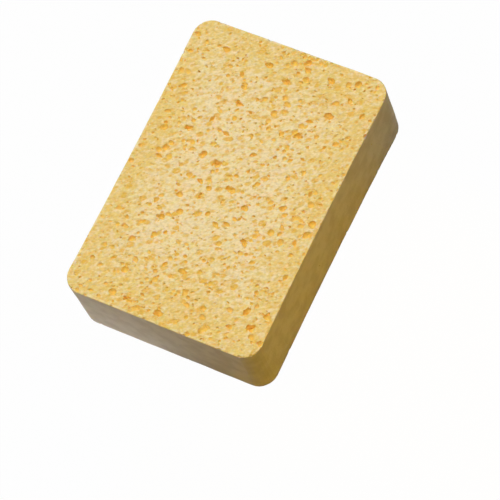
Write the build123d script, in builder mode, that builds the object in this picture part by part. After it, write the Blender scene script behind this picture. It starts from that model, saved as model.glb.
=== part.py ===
from build123d import *
import math
import os
import random
from typing import NamedTuple

# Wallpaper sponge: one block of cellulose foam, sawn from a larger block.
# Its two large faces are cut through the bubbles of the foam and are full of open pores.
# Its four sides are closed skin, and the long ones draw in a little as the block dries.
# The origin is at the middle of the underside. X runs along the block, Y across it and Z up.

# Block, in millimetres
length = 152.0
width = 104.0
height = 40.0
corner_radius = 9.5
edge_round = 0.8
side_draw_in = 0.9

# Pores, in millimetres: the mouth's length and width, and the depth
broad_long = 5.6
broad_wide = 4.3
broad_deep = 4.2
slot_long = 5.4
slot_wide = 3.3
slot_deep = 3.6
oval_long = 4.3
oval_wide = 2.8
oval_deep = 3.2
round_long = 3.2
round_wide = 2.7
round_deep = 2.8
small_long = 2.5
small_wide = 1.7
small_deep = 2.0

# Spacing of the pores, in millimetres
pore_pitch = 9.2
pore_gap = 0.7
edge_margin = 1.4

# Form of a pore: how far its mouth swells and shrinks about an oval, and the part of it left at its floor
lobe_share = 0.13
floor_share = 0.45
lobes = 3
large_corners = 8
round_corners = 6
small_corners = 5
half_turn = 180.0

# How the pores of the underside are shared among the sizes
under_shares = {"broad": 0.03, "slot": 0.06, "oval": 0.11, "round": 0.17}

# Seeds for the pores that lie at random
upper_seed = 4
under_seed = 9

# The pores that stand out on the upper face: the share of the length from the left end,
# the share of the width from the front, and the share of a half turn from the length
bold_shares = {
    "broad": [
        (0.100, 0.090, 0.69), (0.553, 0.590, 0.56), (0.730, 0.300, 0.60), (0.825, 0.210, 0.50),
        (0.036, 0.513, 0.50),
    ],
    "slot": [
        (0.490, 0.480, 0.56), (0.885, 0.470, 0.42), (0.917, 0.580, 0.44), (0.630, 0.795, 0.61),
        (0.567, 0.670, 0.67), (0.042, 0.675, 0.50), (0.938, 0.275, 0.33), (0.968, 0.415, 0.67),
        (0.328, 0.715, 0.50), (0.345, 0.300, 0.33), (0.763, 0.630, 0.42), (0.188, 0.500, 0.47),
        (0.145, 0.140, 0.92),
    ],
    "oval": [
        (0.104, 0.330, 0.53), (0.402, 0.085, 0.17), (0.360, 0.075, 0.67), (0.862, 0.065, 0.97),
        (0.622, 0.450, 0.72), (0.622, 0.195, 0.92), (0.588, 0.250, 0.94), (0.685, 0.710, 0.94),
        (0.380, 0.415, 0.50), (0.205, 0.425, 0.67), (0.510, 0.860, 0.50), (0.920, 0.810, 0.58),
        (0.857, 0.680, 0.22), (0.895, 0.150, 0.22), (0.567, 0.120, 0.06), (0.655, 0.615, 0.47),
        (0.480, 0.620, 0.42), (0.290, 0.050, 0.97), (0.787, 0.280, 0.61), (0.160, 0.545, 0.44),
        (0.080, 0.180, 0.53),
    ],
    "round": [
        (0.410, 0.370, 0.97), (0.725, 0.160, 0.94), (0.868, 0.215, 0.30), (0.920, 0.910, 0.06),
        (0.968, 0.245, 0.33), (0.925, 0.435, 0.56), (0.705, 0.235, 0.50), (0.638, 0.352, 0.94),
        (0.668, 0.325, 0.64), (0.663, 0.228, 0.50), (0.678, 0.500, 0.44), (0.565, 0.435, 0.06),
        (0.525, 0.215, 0.89), (0.505, 0.115, 0.50), (0.545, 0.055, 0.69), (0.476, 0.325, 0.39),
        (0.285, 0.660, 0.97), (0.287, 0.862, 0.06), (0.236, 0.520, 0.44), (0.150, 0.827, 0.72),
        (0.118, 0.420, 0.56), (0.430, 0.590, 0.50), (0.824, 0.480, 0.53), (0.838, 0.738, 0.58),
        (0.119, 0.612, 0.28), (0.072, 0.620, 0.50), (0.030, 0.293, 0.50), (0.445, 0.710, 0.53),
        (0.796, 0.555, 0.47), (0.620, 0.905, 0.44), (0.748, 0.555, 0.56),
    ],
}

# Mouth length, mouth width, depth and number of corners of each size of pore
pore_sizes = {
    "broad": (broad_long, broad_wide, broad_deep, large_corners),
    "slot": (slot_long, slot_wide, slot_deep, large_corners),
    "oval": (oval_long, oval_wide, oval_deep, large_corners),
    "round": (round_long, round_wide, round_deep, round_corners),
    "small": (small_long, small_wide, small_deep, small_corners),
}


class Pore(NamedTuple):
    """One pore: its size, the middle of its mouth and its turn from the length, in degrees."""

    size: str
    x: float
    y: float
    turn: float


def room_to_edge(x, y):
    """How far a point of a cut face lies inside the block's outline, taken as drawn in all along."""
    past_x = abs(x) - length / 2 + corner_radius
    past_y = abs(y) - width / 2 + side_draw_in + corner_radius
    if past_x > 0 and past_y > 0:
        return corner_radius - math.hypot(past_x, past_y)
    return corner_radius - max(past_x, past_y)


def fits(pore, others):
    """Whether a pore keeps clear of the edge and of the pores that are there already."""
    reach = pore_sizes[pore.size][0] / 2
    if room_to_edge(pore.x, pore.y) < edge_margin + reach:
        return False
    for other in others:
        spread = reach + pore_sizes[other.size][0] / 2 + pore_gap
        if math.hypot(pore.x - other.x, pore.y - other.y) < spread:
            return False
    return True


def scatter(pores, size, count, chance):
    """Add pores of one size at random places, each clear of the others, mostly lying across the block."""
    wanted = len(pores) + count
    for _ in range(count * wanted):
        x = chance.uniform(-length / 2, length / 2)
        y = chance.uniform(-width / 2, width / 2)
        turn = chance.triangular(0, half_turn, half_turn / 2)
        pore = Pore(size, x, y, turn)
        if fits(pore, pores):
            pores.append(pore)
        if len(pores) == wanted:
            break


def mouth_points(long, wide, corners):
    """The corners of a pore's mouth, an oval with a few lobes, about its own middle."""
    points = []
    for corner in range(corners):
        angle = 2 * math.pi * corner / corners
        swell = 1 + lobe_share * math.cos(lobes * angle + angle / 2)
        points.append((swell * long / 2 * math.cos(angle), swell * wide / 2 * math.sin(angle)))
    return points


def pit_of(size):
    """The space inside a pore of one size, its mouth on the XY plane, drawing in to a smaller floor below."""
    long, wide, deep, corners = pore_sizes[size]
    lean = math.degrees(math.atan((1 - floor_share) * wide / 2 / deep))
    with BuildPart() as pit:
        with BuildSketch():
            Polygon(*mouth_points(long, wide, corners))
        extrude(amount=-deep)
        draft(pit.faces().filter_by(Axis.Z, reverse=True), neutral_plane=Plane.XY, angle=-lean)
    return pit.part


pores_on_a_face = int(length * width / pore_pitch**2)

# Upper face: the bold pores at their own places, then small ones between them
upper_pores = []
for size, rows in bold_shares.items():
    for along_share, across_share, turn_share in rows:
        x = length * along_share - length / 2
        y = width * across_share - width / 2
        upper_pores.append(Pore(size, x, y, half_turn * turn_share))
scatter(upper_pores, "small", pores_on_a_face - len(upper_pores), random.Random(upper_seed))

# Underside: pores of every size at random, the largest first
under_pores = []
under_chance = random.Random(under_seed)
for size, under_share in under_shares.items():
    scatter(under_pores, size, int(pores_on_a_face * under_share), under_chance)
scatter(under_pores, "small", pores_on_a_face - len(under_pores), under_chance)

with BuildPart() as sponge_block:
    # Plan: a rectangle with rounded corners whose long sides curve inwards
    with BuildSketch() as plan:
        with BuildLine():
            front_left = (-length / 2, -width / 2)
            front_right = (length / 2, -width / 2)
            back_right = (length / 2, width / 2)
            back_left = (-length / 2, width / 2)
            SagittaArc(front_left, front_right, side_draw_in)
            Line(front_right, back_right)
            SagittaArc(back_right, back_left, side_draw_in)
            Line(back_left, front_left)
        make_face()
        fillet(plan.vertices(), radius=corner_radius)
    extrude(amount=height)
    fillet(sponge_block.faces().filter_by(Axis.Z).edges(), radius=edge_round)

    # Pores: one pit for each size, set into the upper face as it is and into the underside turned over
    for size in pore_sizes:
        upper_places = [Location((p.x, p.y, height), (0, 0, p.turn)) for p in upper_pores if p.size == size]
        under_places = [Location((p.x, p.y, 0), (half_turn, 0, p.turn)) for p in under_pores if p.size == size]
        with Locations(*upper_places, *under_places):
            add(pit_of(size), clean=False, mode=Mode.SUBTRACT)

sponge_block.part.label = "sponge_block"
os.makedirs("parts", exist_ok=True)
export_step(sponge_block.part, "parts/sponge_block.step", write_pcurves=False)
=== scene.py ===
"""Looks of a wallpaper sponge: one block of cellulose foam with open pores on its two cut faces.

Lengths are in metres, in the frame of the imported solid: X along the block, Y across it and Z up.
"""

import logging
import math
from dataclasses import dataclass
from enum import Enum
from itertools import count
from typing import Any, Optional, Union

import bmesh
import bpy
import numpy as np
from mathutils import Color, Matrix, Vector


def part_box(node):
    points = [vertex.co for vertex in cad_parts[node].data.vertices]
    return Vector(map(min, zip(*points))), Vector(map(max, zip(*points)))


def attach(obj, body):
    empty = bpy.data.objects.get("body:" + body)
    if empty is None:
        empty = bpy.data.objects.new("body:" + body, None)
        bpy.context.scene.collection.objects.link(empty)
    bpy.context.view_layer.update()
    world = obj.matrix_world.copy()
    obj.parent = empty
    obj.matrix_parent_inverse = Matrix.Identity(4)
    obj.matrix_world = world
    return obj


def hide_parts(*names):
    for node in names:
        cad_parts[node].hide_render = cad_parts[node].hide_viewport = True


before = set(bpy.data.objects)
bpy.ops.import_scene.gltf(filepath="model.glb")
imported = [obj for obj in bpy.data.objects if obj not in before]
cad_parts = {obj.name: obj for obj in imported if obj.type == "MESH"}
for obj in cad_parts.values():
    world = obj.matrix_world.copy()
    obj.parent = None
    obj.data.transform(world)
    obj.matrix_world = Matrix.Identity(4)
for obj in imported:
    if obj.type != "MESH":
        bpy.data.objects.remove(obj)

LOG = logging.getLogger("sponge")
NODE = "sponge_block"
MM = 0.001
SCREEN_WHITE = 255
NOISE_MIDDLE = 0.5

# Numbers of the sockets that share their names with others on the same node
MIX_FIRST, MIX_SECOND, MIX_RESULT = 6, 7, 2
RANDOM_LEAST, RANDOM_MOST, RANDOM_RESULT = 2, 3, 1
WHOLE_LEAST, WHOLE_MOST, WHOLE_RESULT = 4, 5, 2

Colour = tuple[float, float, float, float]
Limits = tuple[float, float]
Operand = Union["Field", int, float]

WHITE: Colour = (1.0, 1.0, 1.0, 1.0)


class Side(Enum):
    """A cut face of the block, by the way that it faces along Z."""

    UPPER = 1
    UNDER = -1


class Ground(Enum):
    """The kind of surface that a grade of fine pores lies in."""

    CUT = "cut"
    EDGE = "edge"
    SKIN = "skin"


def srgb(red: int, green: int, blue: int) -> Colour:
    """Turn a screen colour, from 0 to 255, into the linear one that shaders take, with an alpha of 1."""
    screen = Color((red / SCREEN_WHITE, green / SCREEN_WHITE, blue / SCREEN_WHITE))
    return (*screen.from_srgb_to_scene_linear(), 1.0)


class Field:
    """An output socket that takes part in Python sums. Each operator adds one Math node."""

    def __init__(self, graph: "Graph", socket: bpy.types.NodeSocket) -> None:
        """Keep the socket and the graph that its sums go into."""
        self.graph = graph
        self.socket = socket

    def maths(self, operation: str, *values: Operand) -> "Field":
        """Add a Math node whose sockets take the values in order."""
        return self.graph.out("ShaderNodeMath", {"operation": operation}, dict(enumerate(values)))

    def __add__(self, other: Operand) -> "Field":
        """Add."""
        return self.maths("ADD", self, other)

    def __sub__(self, other: Operand) -> "Field":
        """Subtract."""
        return self.maths("SUBTRACT", self, other)

    def __rsub__(self, other: Operand) -> "Field":
        """Subtract this from a number."""
        return self.maths("SUBTRACT", other, self)

    def __mul__(self, other: Operand) -> "Field":
        """Multiply."""
        return self.maths("MULTIPLY", self, other)

    def __gt__(self, other: Operand) -> "Field":
        """1 where this is greater, or else 0."""
        return self.maths("GREATER_THAN", self, other)

    __radd__ = __add__
    __rmul__ = __mul__

    def most(self, other: Operand) -> "Field":
        """The greater of this and another."""
        return self.maths("MAXIMUM", self, other)

    def unsigned(self) -> "Field":
        """The value without its sign."""
        return self.maths("ABSOLUTE", self)

    def rise(self, low: float, high: float) -> "Field":
        """A smooth step, from 0 at the low limit to 1 at the high one."""
        limits = {"Value": self, "From Min": low, "From Max": high}
        return self.graph.out("ShaderNodeMapRange", {"interpolation_type": "SMOOTHSTEP"}, limits)


@dataclass(frozen=True)
class Noise:
    """A pattern of smooth noise: its cells to the unit of length and its octaves."""

    scale: float
    detail: float


class Graph:
    """A node tree, and the one way in which nodes come into it."""

    def __init__(self, tree: bpy.types.NodeTree) -> None:
        """Keep the tree."""
        self.tree = tree

    def add(self, kind: str, settings: dict[str, Any], sockets: dict[Any, Any]) -> bpy.types.Node:
        """Add a node.

        Args:
            kind: The node's type.
            settings: Its properties, set first.
            sockets: Values or fields by the socket's name or number, a list where a socket takes several.

        Returns:
            The node.
        """
        node = self.tree.nodes.new(kind)
        for name, setting in settings.items():
            setattr(node, name, setting)
        for key, given in sockets.items():
            values = given if isinstance(given, list) else [given]
            for value in values:
                if isinstance(value, Field):
                    self.tree.links.new(value.socket, node.inputs[key])
                else:
                    node.inputs[key].default_value = value
        return node

    def out(self, kind: str, settings: dict[str, Any], sockets: dict[Any, Any], key: Any = 0) -> Field:
        """Add a node and take one of its outputs, by its name or number."""
        return Field(self, self.add(kind, settings, sockets).outputs[key])

    def part(self, vector: Field, axis: str) -> Field:
        """One coordinate of a vector."""
        return self.out("ShaderNodeSeparateXYZ", {}, {0: vector}, axis)

    def scaled(self, vector: Field, length: Field) -> Field:
        """A vector times a number."""
        return self.out("ShaderNodeVectorMath", {"operation": "SCALE"}, {0: vector, "Scale": length})

    def mix(self, share: Field, first: Any, second: Any) -> Field:
        """Blend two colours, by the share of the second that shows."""
        sockets = {0: share, MIX_FIRST: first, MIX_SECOND: second}
        return self.out("ShaderNodeMix", {"data_type": "RGBA"}, sockets, MIX_RESULT)

    def noise(self, place: Field, pattern: Noise, variant: Optional[float] = None) -> Field:
        """Smooth noise from 0 to 1.

        Args:
            place: The coordinates.
            pattern: Its scale and detail.
            variant: Which of the patterns of that kind it is, where there is more than one.

        Returns:
            The noise.
        """
        sockets: dict[Any, Any] = {"Vector": place, "Scale": pattern.scale, "Detail": pattern.detail}
        if variant is None:
            return self.out("ShaderNodeTexNoise", {}, sockets)
        sockets["W"] = variant
        return self.out("ShaderNodeTexNoise", {"noise_dimensions": "4D"}, sockets)


@dataclass(frozen=True)
class Pore:
    """One pore of the solid: its middle in the cut face, its half sizes, its depth and its turn."""

    side: Side
    x: float
    y: float
    half_long: float
    half_wide: float
    deep: float
    turn: float


@dataclass
class PoreMap:
    """The pores of the solid, read from the flat floors that its pits end in."""

    node: str = NODE
    floor_share: float = 0.45
    flat: float = 0.001 * MM
    shallow: float = 0.9 * MM
    deepest: float = 8.0 * MM
    place_digits: int = 7
    order_digits: int = 5

    def floor_islands(self, depth_of: np.ndarray, triangles: np.ndarray) -> list[np.ndarray]:
        """Group the floor triangles that share corners.

        Args:
            depth_of: Each corner point's depth under its cut face.
            triangles: Three point numbers for each triangle.

        Returns:
            The point numbers of each pit's floor.
        """
        depths = depth_of[triangles]
        level = np.ptp(depths, axis=1) < self.flat
        inside = (depths.min(axis=1) > self.shallow) & (depths.max(axis=1) < self.deepest)
        groups: dict[int, set[int]] = {}
        for corners in triangles[level & inside].tolist():
            merged = set(corners)
            for corner in corners:
                merged |= groups.get(corner, set())
            for corner in merged:
                groups[corner] = merged
        unique = {id(group): group for group in groups.values()}
        return [np.array(sorted(group)) for group in unique.values()]

    def pore(self, floor: np.ndarray, side: Side, deep: float) -> Pore:
        """Work out a pore from its floor.

        Args:
            floor: The floor's corner points, along and across.
            side: The cut face that the pit opens in.
            deep: The depth of the floor.

        Returns:
            The pore, with the size of its mouth.
        """
        middle = floor.mean(axis=0)
        axes = np.linalg.eigh(np.cov((floor - middle).T))[1]
        wide, long = (np.ptp(floor @ axes, axis=0) / 2).tolist()
        inset = wide * (1 - self.floor_share) / self.floor_share
        turn = math.atan2(axes[1, 1], axes[0, 1])
        return Pore(side, middle[0], middle[1], long + inset, wide + inset, deep, turn)

    def order(self, pore: Pore) -> tuple[int, float, float]:
        """What the pores are sorted by: their face, then their rounded places along and across."""
        return (pore.side.value, round(pore.x, self.order_digits), round(pore.y, self.order_digits))

    def read(self) -> list[Pore]:
        """Read every pore.

        Returns:
            The pores in a fixed order.
        """
        low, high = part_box(self.node)
        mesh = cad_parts[self.node].data
        mesh.calc_loop_triangles()
        places = np.array([tuple(vertex.co) for vertex in mesh.vertices])
        corners = np.array([tuple(triangle.vertices) for triangle in mesh.loop_triangles])
        points, number = np.unique(places.round(self.place_digits), axis=0, return_inverse=True)
        triangles = number.reshape(-1)[corners]
        found = []
        for side, depth_of in ((Side.UPPER, high.z - points[:, 2]), (Side.UNDER, points[:, 2] - low.z)):
            for floor in self.floor_islands(depth_of, triangles):
                found.append(self.pore(points[floor, :2], side, float(depth_of[floor[0]])))
        return sorted(found, key=self.order)


@dataclass
class Block:
    """The sawn block before its pores are opened, a closed mesh that fills the solid's outline.

    Its long sides draw in between the corners.
    """

    half_long: float
    half_wide: float
    height: float
    corner_radius: float = 9.5 * MM
    edge_round: float = 0.8 * MM
    draw_in: float = 0.69 * MM
    step: float = 2.0 * MM
    corner_steps: int = 8
    edge_steps: int = 3

    def side_line(self, quarter: int, inset: float) -> np.ndarray:
        """One side of the outline, from the middle of a corner to the middle of the next.

        Args:
            quarter: The side's number, counter-clockwise from the front.
            inset: How far inside the outline the line runs.

        Returns:
            Points along the side, both ends included.
        """
        along = (self.half_wide if quarter % 2 else self.half_long) - self.corner_radius
        out = (self.half_long if quarter % 2 else self.half_wide) - self.corner_radius
        radius = self.corner_radius - inset
        draw = 0.0 if quarter % 2 else self.draw_in
        straight = np.linspace(-1, 1, max(2, round(2 * along / self.step)) + 1)
        bend = np.linspace(0, math.pi / 4, self.corner_steps // 2 + 1)
        first = np.stack([-along - radius * np.sin(bend), -out - radius * np.cos(bend)], axis=1)[::-1]
        middle = np.stack([along * straight, draw * (1 - straight**2) - out - radius], axis=1)
        last = np.stack([along + radius * np.sin(bend), -out - radius * np.cos(bend)], axis=1)
        points = np.concatenate([first[:-1], middle, last[1:]])
        turn = math.pi / 2 * quarter
        return points @ np.array([[math.cos(turn), math.sin(turn)], [-math.sin(turn), math.cos(turn)]])

    def cap(self, inset: float) -> np.ndarray:
        """A grid of points that fills the outline, blended from its four sides.

        Args:
            inset: How far inside the outline the grid ends.

        Returns:
            The grid, by steps along and steps across.
        """
        front, right, back, left = (self.side_line(quarter, inset) for quarter in range(4))
        back = back[::-1]
        left = left[::-1]
        u = np.linspace(0, 1, len(front))[:, None, None]
        v = np.linspace(0, 1, len(right))[None, :, None]
        edges = (1 - v) * front[:, None] + v * back[:, None] + (1 - u) * left[None] + u * right[None]
        corners = (1 - u) * ((1 - v) * front[0] + v * back[0]) + u * ((1 - v) * front[-1] + v * back[-1])
        return edges - corners

    def ring(self, inset: float) -> np.ndarray:
        """The whole outline, counter-clockwise from the middle of the front left corner."""
        return np.concatenate([self.side_line(quarter, inset)[:-1] for quarter in range(4)])

    def profile(self) -> list[tuple[float, float]]:
        """Work out the rings between the two caps.

        Returns:
            The inset and the height of each ring, from the top down.
        """
        bend = np.linspace(0, math.pi / 2, self.edge_steps + 1)[1:]
        inset = self.edge_round * (1 - np.sin(bend))
        drop = self.edge_round * (1 - np.cos(bend))
        flat = self.height - 2 * self.edge_round
        steps = round(flat / self.step)
        levels = self.edge_round + flat * np.arange(steps - 1, 0, -1) / steps
        upper = list(zip(inset, self.height - drop))
        lower = list(zip(inset[::-1], drop[::-1]))
        return upper + [(0.0, level) for level in levels] + lower

    def mark(self, mesh: bpy.types.Mesh, points: np.ndarray, loops: list[np.ndarray]) -> None:
        """Give the block's points their attributes.

        Args:
            mesh: The block's mesh.
            points: Its points, those of the two caps first.
            loops: The point numbers of each ring, from the upper cap's edge down to the lower cap's.
        """
        # Foam is the caps and the first two rings of each rounded edge
        foam = np.zeros(len(points))
        foam[: loops[1][0]] = 1.0
        for loop in loops[1:3] + loops[-3:-1]:
            foam[loop] = 1.0
        # The rim is each cap's edge and the ring next to it
        rim = np.zeros(len(points))
        for loop in loops[:2] + loops[-2:]:
            rim[loop] = 1.0
        margin = np.maximum(np.abs(points[:, 0]) / self.half_long, np.abs(points[:, 1]) / self.half_wide)
        for label, values in (("foam", foam), ("rim", rim), ("margin", margin)):
            mesh.attributes.new(label, "FLOAT", "POINT").data.foreach_set("value", values)

    def mesh(self, name: str) -> bpy.types.Mesh:
        """Build the closed block.

        Args:
            name: The mesh's name.

        Returns:
            The mesh, with a foam attribute of 1 on the cut faces and 0 on the skin, a rim attribute of 1
            along the edge of the cut faces, and a margin attribute from 0 at their middle to 1 at the edge.
        """
        grid = self.cap(self.edge_round)
        rows, columns = grid.shape[:2]
        number = np.arange(rows * columns).reshape(rows, columns)
        edge = np.concatenate([number[:-1, 0], number[-1, :-1], number[:0:-1, -1], number[0, :0:-1]])
        flat = grid.reshape(-1, 2)
        layers = [(flat, self.height), (flat, 0.0)]
        layers += [(self.ring(inset), level) for inset, level in self.profile()]
        stack = [np.column_stack([plan, np.full(len(plan), level)]) for plan, level in layers]
        points = np.concatenate(stack)

        quads = np.stack([number[:-1, :-1], number[1:, :-1], number[1:, 1:], number[:-1, 1:]], axis=-1)
        quads = quads.reshape(-1, 4)
        rings = np.arange(2 * len(flat), len(points)).reshape(-1, len(edge))
        loops = [edge, *rings, edge + len(flat)]
        walls = []
        for above, below in zip(loops[:-1], loops[1:]):
            walls.append(np.stack([above, below, np.roll(below, -1), np.roll(above, -1)], axis=1))
        faces = np.concatenate([quads, quads[:, ::-1] + len(flat), *walls])

        mesh = bpy.data.meshes.new(name)
        mesh.from_pydata(points.tolist(), [], faces.tolist())
        self.mark(mesh, points, loops)
        return mesh


@dataclass(frozen=True)
class Grade:
    """A grade of fine pores: where they lie, how many to the square metre, their half lengths and their form.

    A ball of the grade is as tall as its width times a share of tall_shares, and its middle stands out of the
    surface by a share of that from lift_shares, so a high lift makes a shallow dent.
    """

    name: str
    ground: Ground
    density: float
    smallest: float
    largest: float
    detail: int
    seed: int
    tall_shares: Limits = (0.9, 1.3)
    lift_shares: Limits = (0.2, 0.6)


@dataclass
class FoamTree:
    """The node tree that makes the block uneven and opens its pores."""

    # The fine pores, and how they lie
    grades: tuple[Grade, ...] = (
        Grade(
            name="Cells", ground=Ground.CUT, density=38000.0, smallest=1.2 * MM, largest=2.4 * MM,
            detail=2, seed=11, lift_shares=(0.25, 0.65),
        ),
        Grade(
            name="Specks", ground=Ground.CUT, density=90000.0, smallest=0.7 * MM, largest=1.3 * MM,
            detail=1, seed=23,
        ),
        Grade(
            name="Holes", ground=Ground.CUT, density=3000.0, smallest=0.5 * MM, largest=0.9 * MM,
            detail=2, seed=31, tall_shares=(1.6, 2.6), lift_shares=(-0.3, 0.1),
        ),
        Grade(
            name="Nicks", ground=Ground.EDGE, density=900000.0, smallest=0.5 * MM, largest=1.7 * MM,
            detail=1, seed=43,
        ),
        Grade(
            name="Pits", ground=Ground.SKIN, density=2500.0, smallest=0.3 * MM, largest=0.7 * MM,
            detail=1, seed=37, tall_shares=(0.9, 1.4),
        ),
    )
    # How far a normal stands up at least on a cut face, and on its edge
    level_share: float = 0.9
    steep_share: float = 0.3
    patch_noise: Noise = Noise(90.0, 1.0)
    patch_limits: Limits = (0.2, 0.7)
    wide_shares: Limits = (0.55, 0.9)
    turns: Limits = (math.radians(65), math.radians(165))

    # The solid's own pores, the bold ones and the small ones
    bold_half: float = 2.4 * MM
    bold_detail: int = 3
    bold_seed: int = 3
    small_detail: int = 2
    small_seed: int = 5

    # The uneven balls that open pores
    variants: int = 5
    swell_noise: Noise = Noise(1.6, 2.0)
    swell_step: float = 7.3
    fray_noise: Noise = Noise(4.5, 1.0)
    fray_step: float = 3.1
    fray_share: float = 0.6
    own_rough_share: float = 1.0
    fine_rough_share: float = 0.9

    # The block's surface. The two depths are in millimetres, as the depth attribute is
    uneven: float = 0.45 * MM
    uneven_noise: Noise = Noise(75.0, 3.0)
    inside_depth: float = 0.05
    mouth_depth: float = 0.03
    crease_angle: float = math.radians(42)
    mouth_angle: float = math.radians(9)

    def blobs(self, graph: Graph, detail: int, rough_share: float) -> Field:
        """Uneven balls of about unit radius to open pores with.

        Args:
            graph: The tree.
            detail: The subdivisions of each ball.
            rough_share: How far the surface of a ball swells and shrinks.

        Returns:
            A few different balls, as instances.
        """
        made = []
        for variant in range(self.variants):
            ball = graph.out("GeometryNodeMeshIcoSphere", {}, {"Radius": 1.0, "Subdivisions": detail})
            here = graph.out("GeometryNodeInputPosition", {}, {})
            swell = graph.noise(here, self.swell_noise, self.swell_step * variant + detail) - NOISE_MIDDLE
            fray = graph.noise(here, self.fray_noise, self.fray_step * variant + detail) - NOISE_MIDDLE
            offset = graph.scaled(here, swell * rough_share + fray * rough_share * self.fray_share)
            lumpy = graph.out("GeometryNodeSetPosition", {}, {"Geometry": ball, "Offset": offset})
            made.append(graph.out("GeometryNodeGeometryToInstance", {}, {0: lumpy}))
        # A join takes the last link first
        return graph.out("GeometryNodeJoinGeometry", {}, {0: made[::-1]})

    def chance(self, graph: Graph, limits: Limits, seed: int) -> Field:
        """A random number for each point, between two limits."""
        sockets = {RANDOM_LEAST: limits[0], RANDOM_MOST: limits[1], "Seed": seed}
        return graph.out("FunctionNodeRandomValue", {"data_type": "FLOAT"}, sockets, RANDOM_RESULT)

    def placed(
        self, graph: Graph, points: Field, chosen: Any, blobs: Field, turn: Field, size: Field, seed: int
    ) -> Field:
        """Put balls on points.

        Args:
            graph: The tree.
            points: The points.
            chosen: Which of them take a ball.
            blobs: The balls to pick from.
            turn: Each ball's turn about Z.
            size: Each ball's half sizes.
            seed: The seed of the picking.

        Returns:
            The balls, as instances.
        """
        kinds = {WHOLE_LEAST: 0, WHOLE_MOST: self.variants - 1, "Seed": seed}
        euler = graph.out("ShaderNodeCombineXYZ", {}, {"Z": turn})
        sockets = {
            "Points": points,
            "Selection": chosen,
            "Instance": blobs,
            "Pick Instance": True,
            "Instance Index": graph.out("FunctionNodeRandomValue", {"data_type": "INT"}, kinds, WHOLE_RESULT),
            "Rotation": graph.out("FunctionNodeEulerToRotation", {}, {0: euler}),
            "Scale": size,
        }
        return graph.out("GeometryNodeInstanceOnPoints", {}, sockets)

    def carried(self, graph: Graph, name: str, kind: str = "FLOAT") -> Field:
        """A value that points or a mesh carry as an attribute."""
        return graph.out("GeometryNodeInputNamedAttribute", {"data_type": kind}, {"Name": name})

    def own_pores(self, graph: Graph, points: Field) -> list[Field]:
        """The pores of the solid, at their own places and sizes.

        Args:
            graph: The tree.
            points: The pores' middles, with their sizes and turns as attributes.

        Returns:
            The balls that open the bold ones, and those that open the small ones.
        """
        size = self.carried(graph, "size", "FLOAT_VECTOR")
        turn = self.carried(graph, "turn")
        bold = graph.part(size, "X") > self.bold_half
        large = self.blobs(graph, self.bold_detail, self.own_rough_share)
        small = self.blobs(graph, self.small_detail, self.own_rough_share)
        return [
            self.placed(graph, points, bold, large, turn, size, self.bold_seed),
            self.placed(graph, points, 1 - bold, small, turn, size, self.small_seed),
        ]

    def ground(self, graph: Graph, kind: Ground) -> Field:
        """Choose the faces of one kind of surface.

        Args:
            graph: The tree.
            kind: The kind of surface.

        Returns:
            1 on its faces, or else 0.
        """
        normal = graph.out("GeometryNodeInputNormal", {}, {})
        level = graph.part(normal, "Z").unsigned()
        cut = level > self.level_share
        if kind is Ground.CUT:
            return cut
        if kind is Ground.EDGE:
            return (level > self.steep_share) - cut
        return 1 - cut

    def fine_pores(self, graph: Graph, block: Field, grade: Grade, density: Field, largest: Field) -> Field:
        """Fine pores scattered in patches, some deep and some shallow, mostly lying across the block.

        Args:
            graph: The tree.
            block: The uneven block.
            grade: The grade of the pores.
            density: How many there are to the square metre where they lie closest.
            largest: The half length of the largest.

        Returns:
            The balls that open them, as instances.
        """
        here = graph.out("GeometryNodeInputPosition", {}, {})
        patch = graph.noise(here, self.patch_noise).rise(*self.patch_limits)
        seeds = count(grade.seed)
        spread = {
            "Mesh": block,
            "Selection": self.ground(graph, grade.ground),
            "Density": density * patch,
            "Seed": next(seeds),
        }
        scatter = graph.add("GeometryNodeDistributePointsOnFaces", {"distribute_method": "RANDOM"}, spread)
        share = self.chance(graph, (0.0, 1.0), next(seeds))
        half = grade.smallest + (largest - grade.smallest) * share * share
        wide = half * self.chance(graph, self.wide_shares, next(seeds))
        tall = wide * self.chance(graph, grade.tall_shares, next(seeds))
        size = graph.out("ShaderNodeCombineXYZ", {}, {"X": half, "Y": wide, "Z": tall})
        turn = self.chance(graph, self.turns, next(seeds))
        lift = tall * self.chance(graph, grade.lift_shares, next(seeds))
        raised = graph.scaled(Field(graph, scatter.outputs["Normal"]), lift)
        loose = {"Geometry": Field(graph, scatter.outputs["Points"]), "Offset": raised}
        points = graph.out("GeometryNodeSetPosition", {}, loose)
        blobs = self.blobs(graph, grade.detail, self.fine_rough_share)
        return self.placed(graph, points, True, blobs, turn, size, next(seeds))

    def store(self, graph: Graph, mesh: Field, name: str, value: Field) -> Field:
        """Keep a value on a mesh's points as an attribute."""
        sockets = {"Geometry": mesh, "Name": name, "Value": value}
        return graph.out("GeometryNodeStoreNamedAttribute", {"domain": "POINT"}, sockets)

    def nearest(self, graph: Graph, block: Field, name: str) -> Field:
        """The value of an attribute at the nearest point of the block before its pores are opened."""
        sockets = {"Mesh": block, "Value": self.carried(graph, name)}
        return graph.out("GeometryNodeSampleNearestSurface", {"data_type": "FLOAT"}, sockets)

    def noted(self, graph: Graph, block: Field, opened: Field, deep: Field) -> Field:
        """Keep on the opened block what its finish reads: its depth, rim, margin and foam.

        Args:
            graph: The tree.
            block: The block before its pores are opened.
            opened: The block with its pores.
            deep: The depth under the block's surface, in millimetres.

        Returns:
            The opened block with the attributes.
        """
        mesh = self.store(graph, opened, "depth", deep)
        for name in ("rim", "margin"):
            mesh = self.store(graph, mesh, name, self.nearest(graph, block, name))
        foam = self.nearest(graph, block, "foam").most(deep > self.inside_depth)
        return self.store(graph, mesh, "foam", foam)

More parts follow.
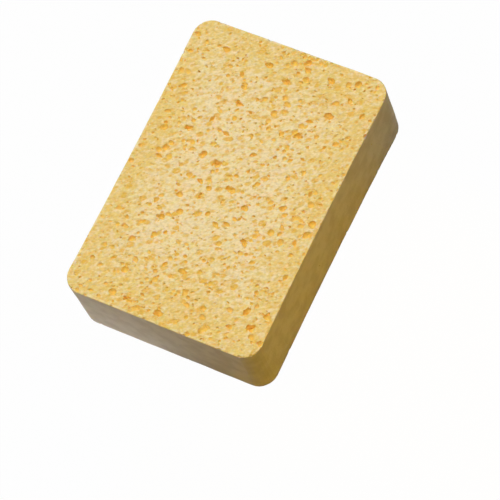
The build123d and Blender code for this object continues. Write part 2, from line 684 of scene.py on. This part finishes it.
    def shaded(self, graph: Graph, mesh: Field, deep: Field) -> Field:
        """Shade a mesh smooth, apart from its creases and the mouths of its pores.

        Args:
            graph: The tree.
            mesh: The mesh.
            deep: The depth under the block's surface, in millimetres.

        Returns:
            The shaded mesh.
        """
        angle = graph.out("GeometryNodeInputMeshEdgeAngle", {}, {})
        mouth = (angle > self.mouth_angle) - (deep > self.mouth_depth)
        sharp = (angle > self.crease_angle).most(mouth)
        soft = graph.out("GeometryNodeSetShadeSmooth", {"domain": "FACE"}, {0: mesh, "Shade Smooth": True})
        crease = {0: soft, "Selection": sharp, "Shade Smooth": False}
        return graph.out("GeometryNodeSetShadeSmooth", {"domain": "EDGE"}, crease)

    def entries(self, graph: Graph) -> dict[str, Field]:
        """Make the tree's inputs and its output.

        Args:
            graph: The tree.

        Returns:
            The inputs, by name.
        """
        kinds = {"Geometry": "Geometry", "Pores": "Object", "Unevenness": "Float"}
        for grade in self.grades:
            kinds[f"{grade.name} Density"] = "Float"
            kinds[f"{grade.name} Largest"] = "Float"
        face = graph.tree.interface
        for name, kind in kinds.items():
            face.new_socket(name, in_out="INPUT", socket_type=f"NodeSocket{kind}")
        face.new_socket("Geometry", in_out="OUTPUT", socket_type="NodeSocketGeometry")
        given = graph.add("NodeGroupInput", {}, {})
        return {socket.name: Field(graph, socket) for socket in given.outputs}

    def build(self, material: bpy.types.Material) -> bpy.types.NodeTree:
        """Build the tree.

        Args:
            material: The finish of the foam.

        Returns:
            The tree, with inputs for the block, the pores' points and the fine pores' numbers and sizes.
        """
        graph = Graph(bpy.data.node_groups.new("foam", "GeometryNodeTree"))
        entry = self.entries(graph)
        here = graph.out("GeometryNodeInputPosition", {}, {})
        normal = graph.out("GeometryNodeInputNormal", {}, {})
        inward = graph.scaled(normal, graph.noise(here, self.uneven_noise) * entry["Unevenness"] * -1)
        block = graph.out("GeometryNodeSetPosition", {}, {"Geometry": entry["Geometry"], "Offset": inward})

        points = graph.out("GeometryNodeObjectInfo", {}, {"Object": entry["Pores"]}, "Geometry")
        cuts = self.own_pores(graph, points)
        for grade in self.grades:
            density = entry[f"{grade.name} Density"]
            largest = entry[f"{grade.name} Largest"]
            cuts.append(self.fine_pores(graph, block, grade, density, largest))
        difference = {"operation": "DIFFERENCE", "solver": "MANIFOLD"}
        opened = graph.out("GeometryNodeMeshBoolean", difference, {"Mesh 1": block, "Mesh 2": cuts})

        near = graph.out("GeometryNodeProximity", {"target_element": "FACES"}, {0: block}, "Distance")
        deep = near * (1 / MM)
        shaded = self.shaded(graph, self.noted(graph, block, opened, deep), deep)
        real = graph.out("GeometryNodeRealizeInstances", {}, {0: shaded})
        dressed = graph.out("GeometryNodeSetMaterial", {}, {0: real, "Material": material})
        graph.add("NodeGroupOutput", {}, {0: dressed})
        return graph.tree

    def settings(self, pores: bpy.types.Object) -> dict[str, Any]:
        """Give the tree's inputs their values.

        Args:
            pores: The points of the solid's own pores.

        Returns:
            The values, by the inputs' names.
        """
        values: dict[str, Any] = {"Pores": pores, "Unevenness": self.uneven}
        for grade in self.grades:
            values[f"{grade.name} Density"] = grade.density
            values[f"{grade.name} Largest"] = grade.largest
        return values


@dataclass(frozen=True)
class Fleck:
    """A size of fleck in the sawn foam: how many to the metre, and how much it tints and dents the foam."""

    scale: float
    tint_share: float
    dent_share: float


@dataclass(frozen=True)
class CelluloseFinish:
    """Dry cellulose foam: cream where it was sawn, golden down in its pores, partly as painted shade and
    bounced light, and a dull skin on its sides.

    A pair of limits says where a colour begins to show and where it shows in full. Depths are in
    millimetres, as the depth attribute is.
    """

    # Sawn foam
    cream: Colour = srgb(239, 220, 175)
    yellow: Colour = srgb(232, 202, 119)
    yellow_limits: Limits = (0.48, 0.9)
    fibre_noise: Noise = Noise(480.0, 1.0)
    fibre_share: float = 0.9
    patch_noise: Noise = Noise(26.0, 2.0)
    patch_share: float = 0.3
    # Yellower towards the edge of each cut face, so that its middle shows paler: a painted sheen
    sheen_margin_limits: Limits = (0.3, 1.0)
    sheen_margin_share: float = 0.2
    pale: Colour = srgb(243, 228, 188)
    pale_noise: Noise = Noise(1000.0, 1.0)
    pale_limits: Limits = (0.45, 0.8)
    pale_share: float = 0.5
    streak_turn: float = math.radians(125)
    streak_stretch: tuple[float, float, float] = (1.5, 1.0, 1.0)

    # Flecks of the sawn foam, out of the pores
    fleck: Colour = srgb(232, 189, 88)
    flecks: tuple[Fleck, ...] = (Fleck(330.0, 1.1, 0.8), Fleck(600.0, 0.7, 0.8), Fleck(1000.0, 0.1, 0.5))
    fleck_limits: Limits = (0.0, 1.1)
    fleck_depths: Limits = (0.1, 0.4)
    fleck_reach: float = 0.5
    fleck_edge: Limits = (-0.2, 0.2)

    # Pores, by their depth: warmer and darker the deeper, partly the foam's own colour and partly painted
    # shade and bounced light down in the hollows
    amber_tint_and_shade: Colour = srgb(240, 197, 95)
    amber_tint_and_shade_depths: Limits = (0.0, 0.5)
    gold_tint_and_shade: Colour = srgb(243, 197, 92)
    gold_tint_and_shade_depths: Limits = (0.4, 1.2)
    orange_tint_and_shade: Colour = srgb(243, 187, 77)
    orange_tint_and_shade_depths: Limits = (1.3, 2.6)
    shade: Colour = (0.1, 0.1, 0.1, 1.0)
    shade_limits: Limits = (0.35, 0.75)
    shade_share: float = 0.16

    # Skin of the sides
    skin: Colour = srgb(206, 190, 170)
    skin_dark: Colour = srgb(194, 177, 156)
    skin_noise: Noise = Noise(150.0, 5.0)
    skin_limits: Limits = (0.35, 0.65)
    foam_limits: Limits = (0.2, 0.8)

    # Rim between the sawn foam and the skin
    rim: Colour = srgb(238, 218, 172)
    rim_noise: Noise = Noise(160.0, 3.0)
    rim_patches: Limits = (0.3, 0.7)
    rim_depths: Limits = (0.05, 0.5)
    rim_limits: Limits = (0.3, 1.0)

    # Relief and gloss
    grain_noise: Noise = Noise(1200.0, 3.0)
    grain_relief_share: float = 0.5
    fibre_relief_share: float = 0.5
    bump_strength: float = 0.5
    bump_height: float = 0.5 * MM
    roughness: float = 0.9
    specular: float = 0.2
    scatter_share: float = 0.85
    scatter_radius: tuple[float, float, float] = (1.0, 0.6, 0.25)
    scatter_length: float = 2.4 * MM

    def attribute(self, graph: Graph, name: str) -> Field:
        """A value that the mesh carries."""
        return graph.out("ShaderNodeAttribute", {"attribute_name": name}, {}, "Fac")

    def spots(self, graph: Graph, place: Field, scale: float) -> Field:
        """Scattered spots of many sizes.

        Args:
            graph: The tree.
            place: The coordinates.
            scale: The spots to the metre.

        Returns:
            1 in a spot, or else 0.
        """
        cells = graph.add("ShaderNodeTexVoronoi", {}, {"Vector": place, "Scale": scale})
        tint = Field(graph, cells.outputs["Color"])
        share = graph.out("ShaderNodeSeparateColor", {}, {0: tint}, "Red")
        inside = share * share * self.fleck_reach - Field(graph, cells.outputs["Distance"])
        return inside.rise(*self.fleck_edge)

    def sawn(self, graph: Graph, place: Field, streaked: Field, fibre: Field, spots: list[Field]) -> Field:
        """The colour of the sawn foam: cream and yellow fibres, flecks, and pale threads over them, with the
        middle of each cut face paler and its edge yellower as a painted sheen.

        Args:
            graph: The tree.
            place: The coordinates.
            streaked: The coordinates that fibres follow.
            fibre: The pattern of the fibres.
            spots: The spots of each size of fleck.

        Returns:
            The colour.
        """
        patch = graph.noise(place, self.patch_noise)
        # The margin makes the middle of the cut face paler than its edge, a painted sheen
        margin = self.attribute(graph, "margin").rise(*self.sheen_margin_limits)
        tone = fibre * self.fibre_share + patch * self.patch_share + margin * self.sheen_margin_share
        colour = graph.mix(tone.rise(*self.yellow_limits), self.cream, self.yellow)
        tint = sum(spot * fleck.tint_share for spot, fleck in zip(spots, self.flecks))
        colour = graph.mix(tint.rise(*self.fleck_limits), colour, self.fleck)
        thread = graph.noise(streaked, self.pale_noise).rise(*self.pale_limits)
        return graph.mix(thread * self.pale_share, colour, self.pale)

    def pitted(self, graph: Graph, sawn: Field, deep: Field, grain: Field) -> Field:
        """The colour of the foam and its pores, warmer and darker the deeper as partly painted shade and
        bounced light in the hollows, with a fine grain of shade.

        Args:
            graph: The tree.
            sawn: The colour of the sawn foam.
            deep: The depth.
            grain: The pattern of the grain.

        Returns:
            The colour.
        """
        # Deeper down the pores are painted warmer and darker, partly standing in for their shade and bounced
        # light
        colour = graph.mix(deep.rise(*self.amber_tint_and_shade_depths), sawn, self.amber_tint_and_shade)
        colour = graph.mix(deep.rise(*self.gold_tint_and_shade_depths), colour, self.gold_tint_and_shade)
        colour = graph.mix(deep.rise(*self.orange_tint_and_shade_depths), colour, self.orange_tint_and_shade)
        return graph.mix(grain.rise(*self.shade_limits) * self.shade_share, colour, self.shade)

    def skinned(self, graph: Graph, place: Field, pitted: Field, deep: Field, foam: Field) -> Field:
        """The colour of the whole block: foam on its cut faces, skin on its sides and a worn rim between.

        Args:
            graph: The tree.
            place: The coordinates.
            pitted: The colour of the foam and its pores.
            deep: The depth.
            foam: 1 on foam, and 0 on skin.

        Returns:
            The colour.
        """
        mottle = graph.noise(place, self.skin_noise).rise(*self.skin_limits)
        skin = graph.mix(mottle, self.skin, self.skin_dark)
        colour = graph.mix(foam.rise(*self.foam_limits), skin, pitted)
        patches = graph.noise(place, self.rim_noise).rise(*self.rim_patches)
        worn = self.attribute(graph, "rim") * (1 - deep.rise(*self.rim_depths)) * patches
        return graph.mix(worn.rise(*self.rim_limits), colour, self.rim)

    def material(self, name: str) -> bpy.types.Material:
        """Build the finish.

        Args:
            name: The material's name.

        Returns:
            The material.
        """
        material = bpy.data.materials.new(name)
        material.use_nodes = True
        material.node_tree.nodes.clear()
        graph = Graph(material.node_tree)
        place = graph.out("ShaderNodeTexCoord", {}, {}, "Object")
        askew = {"Vector": place, "Rotation": (0.0, 0.0, self.streak_turn), "Scale": self.streak_stretch}
        streaked = graph.out("ShaderNodeMapping", {"vector_type": "TEXTURE"}, askew)
        deep = self.attribute(graph, "depth")
        foam = self.attribute(graph, "foam")
        fibre = graph.noise(streaked, self.fibre_noise)
        grain = graph.noise(streaked, self.grain_noise)
        open_cut = 1 - deep.rise(*self.fleck_depths)
        spots = [self.spots(graph, streaked, fleck.scale) * open_cut for fleck in self.flecks]
        sawn = self.sawn(graph, place, streaked, fibre, spots)
        pitted = self.pitted(graph, sawn, deep, grain)

        dents = sum(spot * fleck.dent_share for spot, fleck in zip(spots, self.flecks))
        relief = grain * self.grain_relief_share + (fibre * self.fibre_relief_share - dents) * foam
        bump = {"Height": relief, "Strength": self.bump_strength, "Distance": self.bump_height}
        sockets = {
            "Base Color": self.skinned(graph, place, pitted, deep, foam),
            "Roughness": self.roughness,
            "Specular IOR Level": self.specular,
            "Subsurface Weight": self.scatter_share,
            "Subsurface Radius": self.scatter_radius,
            "Subsurface Scale": self.scatter_length,
            "Normal": graph.out("ShaderNodeBump", {}, bump),
        }
        shader = graph.out("ShaderNodeBsdfPrincipled", {}, sockets)
        graph.add("ShaderNodeOutputMaterial", {}, {"Surface": shader})
        return material


@dataclass
class Sponge:
    """The sponge: its block, its pores and its finish.

    The ball that opens a pore of the solid goes down to depth_share of the pit's depth. Its middle stands out
    of the cut face by lift_share of its half height, so its mouth is mouth_share of its full size.
    """

    name: str = "foam_block"
    mouth_share: float = 0.86
    lift_share: float = 0.5
    depth_share: float = 0.5

    def pore_points(self, pores: list[Pore], low: float, high: float) -> bpy.types.Object:
        """Put the pores' middles, sizes and turns on loose points.

        Args:
            pores: The pores.
            low: The height of the underside.
            high: The height of the upper face.

        Returns:
            The points, as an object.
        """
        places = []
        sizes = []
        for pore in pores:
            tall = self.depth_share * pore.deep / (1 - self.lift_share)
            face = high if pore.side is Side.UPPER else low
            places.append((pore.x, pore.y, face + pore.side.value * self.lift_share * tall))
            sizes += [pore.half_long / self.mouth_share, pore.half_wide / self.mouth_share, tall]
        mesh = bpy.data.meshes.new("pore_points")
        mesh.from_pydata(places, [], [])
        mesh.attributes.new("size", "FLOAT_VECTOR", "POINT").data.foreach_set("vector", sizes)
        turns = [pore.turn for pore in pores]
        mesh.attributes.new("turn", "FLOAT", "POINT").data.foreach_set("value", turns)
        points = bpy.data.objects.new("pore_points", mesh)
        bpy.context.scene.collection.objects.link(points)
        return points

    def straighten(self, mesh: bpy.types.Mesh) -> None:
        """Take out the points that the cutting leaves inside straight edges, between just two faces.

        Args:
            mesh: The mesh, changed in place.
        """
        shape = bmesh.new()
        shape.from_mesh(mesh)
        between = [point for point in shape.verts if len(point.link_edges) == 2]
        bmesh.ops.dissolve_verts(shape, verts=between)
        shape.to_mesh(mesh)
        shape.free()

    def build(self) -> bpy.types.Object:
        """Build, dress and place the sponge.

        Returns:
            The finished piece.
        """
        low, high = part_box(NODE)
        block = Block((high.x - low.x) / 2, (high.y - low.y) / 2, high.z - low.z)
        piece = bpy.data.objects.new(self.name, block.mesh(self.name))
        bpy.context.scene.collection.objects.link(piece)
        pores = PoreMap().read()
        LOG.info("%s: %d pores of the solid", self.name, len(pores))
        points = self.pore_points(pores, low.z, high.z)
        foam = FoamTree()
        tree = foam.build(CelluloseFinish().material("cellulose"))
        modifier = piece.modifiers.new("foam", "NODES")
        modifier.node_group = tree
        values = foam.settings(points)
        for item in tree.interface.items_tree:
            if item.in_out == "INPUT" and item.name in values:
                modifier[item.identifier] = values[item.name]
        graph = bpy.context.evaluated_depsgraph_get()
        made = bpy.data.meshes.new_from_object(piece.evaluated_get(graph), depsgraph=graph)
        piece.modifiers.clear()
        piece.data = made
        bpy.data.objects.remove(points)
        self.straighten(made)
        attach(piece, "root")
        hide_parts(NODE)
        return piece


@dataclass(frozen=True)
class Patch:
    """A patch of the floor, by the two places between which each edge fades. An edge not given is far out."""

    left: Limits = (-3.0, -2.9)
    right: Limits = (2.9, 3.0)
    front: Limits = (-3.0, -2.9)
    back: Limits = (2.9, 3.0)

    def cover(self, x: Field, y: Field) -> Field:
        """1 inside the patch, fading to 0 past its edges."""
        across = x.rise(*self.left) * (1 - x.rise(*self.right))
        return across * y.rise(*self.front) * (1 - y.rise(*self.back))


@dataclass
class Studio:
    """Plain pale floor, soft light and the camera."""

    # Camera
    aim: tuple[float, float, float] = (-0.0259, -0.0253, 0.040)
    azimuth: float = math.radians(-38.87)
    elevation: float = math.radians(64.68)
    roll: float = math.radians(-27.11)
    distance: float = 1.3958
    lens: float = 216.0
    sensor: float = 36.0
    clip_start: float = 0.05

    # Floor, with patches that only bounced light sees: a yellow one in front that throws painted warm bounce
    # light on the front side, a dark one of painted shade at the near corner, and a glowing one on the left
    # that lights that side
    floor_half: float = 3.0
    floor_colour: Colour = (0.32, 0.32, 0.32, 1.0)
    floor_white_share: float = 0.985
    warm_bounce_patch: Patch = Patch(left=(-0.17, -0.11), right=(0.02, 0.075), back=(-0.06, 0.0))
    warm_bounce_floor_colour: Colour = (0.84, 0.56, 0.0, 1.0)
    # A dark patch under the near corner, painted shade that dims the bounced light there
    corner_shade_patch: Patch = Patch(right=(-0.13, -0.075), back=(-0.03, 0.02))
    corner_shade_floor_colour: Colour = (0.32, 0.2, 0.0, 1.0)
    glow_patch: Patch = Patch(left=(-0.22, -0.13), right=(-0.075, -0.05), front=(-0.025, 0.02))
    glow_share: float = 0.76

    # Key lamp
    key_azimuth: float = math.radians(115)
    key_elevation: float = math.radians(76)
    key_strength: float = 0.9
    key_angle: float = math.radians(60)
    key_colour: tuple[float, float, float] = (1.0, 0.99, 0.97)

    # Sky, which is dimmer low down and towards two sides
    sky_colour: Colour = (1.68, 1.67, 1.69, 1.0)
    low_sky_colour: Colour = (0.2, 0.21, 0.23, 1.0)
    sky_heights: Limits = (0.3, 1.0)
    left_azimuth: float = math.radians(-60)
    left_sky_colour: Colour = (0.1, 0.09, 0.06, 1.0)
    front_azimuth: float = 0.0
    front_sky_colour: Colour = (0.2, 0.165, 0.02, 1.0)
    side_limits: Limits = (0.0, 0.45)
    side_heights: Limits = (0.7, 1.0)

    def towards(self, azimuth: float, elevation: float) -> Vector:
        """The way to what stands at an azimuth, 0 in front and a quarter turn on the right, and so high."""
        level = math.cos(elevation)
        return Vector((math.sin(azimuth) * level, -math.cos(azimuth) * level, math.sin(elevation)))

    def camera(self) -> None:
        """Set the camera up at the photograph's viewing angle."""
        data = bpy.data.cameras.new("camera")
        data.lens = self.lens
        data.sensor_width = self.sensor
        data.clip_start = self.clip_start
        camera = bpy.data.objects.new("camera", data)
        back = self.towards(self.azimuth, self.elevation)
        turn = (-back).to_track_quat("-Z", "Y").to_matrix() @ Matrix.Rotation(self.roll, 3, "Z")
        camera.matrix_world = Matrix.Translation(Vector(self.aim) + back * self.distance) @ turn.to_4x4()
        bpy.context.scene.collection.objects.link(camera)
        bpy.context.scene.camera = camera

    def seen(self, graph: Graph) -> Field:
        """Choose the rays that show the background itself.

        Args:
            graph: The tree.

        Returns:
            1 for rays from the camera or by a mirror or glass, or else 0.
        """
        path = graph.add("ShaderNodeLightPath", {}, {})
        camera = Field(graph, path.outputs["Is Camera Ray"])
        glossy = Field(graph, path.outputs["Is Glossy Ray"])
        clear = Field(graph, path.outputs["Is Transmission Ray"])
        return camera.most(glossy).most(clear)

    def floor_material(self) -> bpy.types.Material:
        """Build the floor's finish: almost white to the eye, and grey to bounced light, with a yellow patch
        that throws painted warm light, a dark patch of painted shade at the near corner and a glowing patch
        on the left.

        Returns:
            The material.
        """
        material = bpy.data.materials.new("floor")
        material.use_nodes = True
        material.node_tree.nodes.clear()
        graph = Graph(material.node_tree)
        place = graph.out("ShaderNodeTexCoord", {}, {}, "Object")
        x = graph.part(place, "X")
        y = graph.part(place, "Y")
        # Painted warm bounce light: a yellow patch in front of the front side
        colour = graph.mix(self.warm_bounce_patch.cover(x, y), self.floor_colour, self.warm_bounce_floor_colour)
        # Painted shade: the floor under the near corner is darkened
        colour = graph.mix(self.corner_shade_patch.cover(x, y), colour, self.corner_shade_floor_colour)
        matt = graph.out("ShaderNodeBsdfDiffuse", {}, {"Color": colour})
        white = graph.out("ShaderNodeEmission", {}, {"Color": WHITE, "Strength": 1.0})
        glow = self.glow_patch.cover(x, y) * self.glow_share
        bright = (self.seen(graph) * self.floor_white_share).most(glow)
        blend = graph.out("ShaderNodeMixShader", {}, {0: bright, 1: matt, 2: white})
        graph.add("ShaderNodeOutputMaterial", {}, {"Surface": blend})
        return material

    def floor(self) -> None:
        """Lay the floor, which keeps the object's shadow."""
        half = self.floor_half
        mesh = bpy.data.meshes.new("floor")
        corners = [(-half, -half, 0.0), (half, -half, 0.0), (half, half, 0.0), (-half, half, 0.0)]
        mesh.from_pydata(corners, [], [(0, 1, 2, 3)])
        mesh.materials.append(self.floor_material())
        floor = bpy.data.objects.new("floor", mesh)
        bpy.context.scene.collection.objects.link(floor)

    def lamp(self) -> None:
        """Hang the key lamp, which is soft and stands high on the right, a little to the back."""
        data = bpy.data.lights.new("key", "SUN")
        data.energy = self.key_strength
        data.angle = self.key_angle
        data.color = self.key_colour
        light = bpy.data.objects.new("key", data)
        way = self.towards(self.key_azimuth, self.key_elevation)
        light.matrix_world = way.to_track_quat("Z", "Y").to_matrix().to_4x4()
        bpy.context.scene.collection.objects.link(light)

    def sky(self) -> None:
        """Make the sky: white to the eye, bright above, and dim low down, on the left and in front."""
        world = bpy.data.worlds.new("sky")
        world.use_nodes = True
        world.node_tree.nodes.clear()
        graph = Graph(world.node_tree)
        way = graph.out("ShaderNodeTexCoord", {}, {}, "Generated")
        height = graph.part(way, "Z")
        low = 1 - height.rise(*self.side_heights)
        colour = graph.mix(height.rise(*self.sky_heights), self.low_sky_colour, self.sky_colour)
        sides = ((self.left_azimuth, self.left_sky_colour), (self.front_azimuth, self.front_sky_colour))
        for azimuth, side_colour in sides:
            pair = {0: way, 1: self.towards(azimuth, 0.0)}
            turned = graph.out("ShaderNodeVectorMath", {"operation": "DOT_PRODUCT"}, pair, "Value")
            colour = graph.mix(turned.rise(*self.side_limits) * low, colour, side_colour)
        shown = graph.mix(self.seen(graph), colour, WHITE)
        sky = graph.out("ShaderNodeBackground", {}, {"Color": shown, "Strength": 1.0})
        graph.add("ShaderNodeOutputWorld", {}, {"Surface": sky})
        bpy.context.scene.world = world

    def build(self) -> None:
        """Set up the camera, the floor and the light."""
        bpy.context.scene.view_settings.view_transform = "Standard"
        self.camera()
        self.floor()
        self.lamp()
        self.sky()


def main() -> None:
    """Build the sponge and its studio, and note how many pores and triangles it has."""
    logging.basicConfig(level=logging.INFO, format="%(name)s: %(message)s")
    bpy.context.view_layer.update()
    piece = Sponge().build()
    piece.data.calc_loop_triangles()
    LOG.info("%s: %d triangles", piece.name, len(piece.data.loop_triangles))
    Studio().build()


if __name__ == "__main__":
    main()
